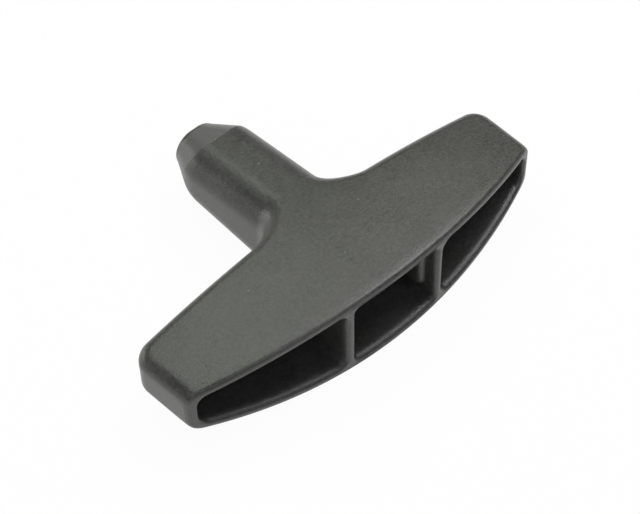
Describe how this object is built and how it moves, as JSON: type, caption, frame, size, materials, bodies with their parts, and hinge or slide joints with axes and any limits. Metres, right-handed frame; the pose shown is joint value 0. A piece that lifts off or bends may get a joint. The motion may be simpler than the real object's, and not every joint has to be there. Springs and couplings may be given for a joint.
{
  "type": "starter handle",
  "caption": "T-shaped pull handle for a recoil starter: a hollow, bowed grip with ribs and a tapering stem that is bored for the cord.",
  "frame": {"origin": "under the middle of the whole handle, at the level of its lowest point as it lies flat", "axes": "+X along the grip, +Y from the grip's open mouth to the nose of the stem, +Z through the thickness"},
  "size_m": [0.0956, 0.062, 0.021],
  "materials": {
    "body": "fine spark-eroded texture on a moulded, glass-filled nylon"
  },
  "bodies": {
    "root": {"handle": "body"}
  },
  "joints": []
}
